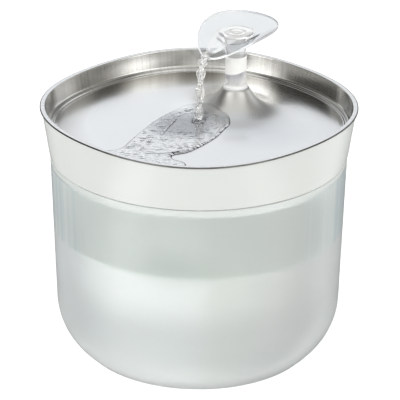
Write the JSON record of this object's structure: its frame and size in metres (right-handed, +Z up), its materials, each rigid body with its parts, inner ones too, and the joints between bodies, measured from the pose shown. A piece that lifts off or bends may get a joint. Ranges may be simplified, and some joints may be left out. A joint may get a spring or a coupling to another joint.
{
  "type": "pet water fountain",
  "caption": "Round clear-bowl pet water fountain with a white collar, a brushed steel drinking tray, a turning clear scoop spout, a drip filter and a submersible pump.",
  "frame": {"origin": "on the ground under the middle of the bowl", "axes": "+Z up; -Y is the front, the way the spout pours; +X is the object's left as it faces forward"},
  "size_m": [0.2092, 0.2092, 0.2296],
  "materials": {
    "bowl_plastic": "satin, frosted clear",
    "silicone": "satin",
    "collar_plastic": "gloss",
    "dark_rubber": "matte",
    "steel": "fine brushed, polished lip",
    "clear_plastic": "gloss, clear",
    "white_plastic": "satin",
    "filter_plastic": "satin",
    "fleece": "matte",
    "carbon": "matte, granular",
    "resin": "granular",
    "pump_plastic": "satin",
    "core_iron": "laminated",
    "bobbin_plastic": "satin",
    "copper": "enamelled wire",
    "potting": "satin resin",
    "magnet": "satin",
    "impeller_plastic": "satin",
    "ceramic_rod": "polished",
    "foam": "open-cell",
    "shutter_plastic": "satin"
  },
  "bodies": {
    "base": {"bowl": "bowl_plastic", "rubber_feet": "silicone", "suction_cups": "silicone", "pump_housing": "pump_plastic", "stator_core": "core_iron", "coil_bobbin": "bobbin_plastic", "stator_coil": "copper", "potting": "potting", "impeller_shaft": "ceramic_rod", "shaft_bushes": "dark_rubber", "impeller_cover": "pump_plastic", "cable_gland": "dark_rubber", "riser_coupling": "silicone", "riser_tube": "clear_plastic"},
    "collar": {"collar": "collar_plastic", "cable_grommet": "dark_rubber", "filter_frame": "white_plastic"},
    "cartridge": {"filter_shell": "filter_plastic", "filter_lid": "filter_plastic", "filter_fleece": "fleece", "carbon_bed": "carbon", "resin_bed": "resin"},
    "tray": {"tray": "steel"},
    "foot_ring": {"spout_foot_ring": "clear_plastic"},
    "spout": {"spout": "clear_plastic"},
    "rotor": {"impeller": "impeller_plastic", "rotor_magnet": "magnet"},
    "strainer": {"strainer_cover": "pump_plastic", "strainer_foam": "foam"},
    "shutter": {"flow_shutter": "shutter_plastic"}
  },
  "joints": [
    {"name": "collar_lift", "type": "slide", "parent": "base", "child": "collar", "axis": [0, 0, 1], "range_m": [0, 0.08]},
    {"name": "cartridge_pull", "type": "slide", "parent": "collar", "child": "cartridge", "axis": [0, 0, -1], "range_m": [0, 0.03]},
    {"name": "tray_lift", "type": "slide", "parent": "collar", "child": "tray", "axis": [0, 0, 1], "range_m": [0, 0.05]},
    {"name": "spout_turn", "type": "hinge", "parent": "tray", "child": "foot_ring", "pos_m": [0, 0.036, 0.1831], "axis": [0, 0, 1], "continuous": true},
    {"name": "spout_pull", "type": "slide", "parent": "foot_ring", "child": "spout", "axis": [0, 0, 1], "range_m": [0, 0.05]},
    {"name": "impeller_spin", "type": "hinge", "parent": "base", "child": "rotor", "pos_m": [0, 0.05, 0.038], "axis": [0, 1, 0], "continuous": true},
    {"name": "strainer_pull", "type": "slide", "parent": "base", "child": "strainer", "axis": [0, -1, 0], "range_m": [0, 0.03]},
    {"name": "shutter_slide", "type": "slide", "parent": "strainer", "child": "shutter", "axis": [1, 0, 0], "range_m": [0, 0.0035]}
  ]
}
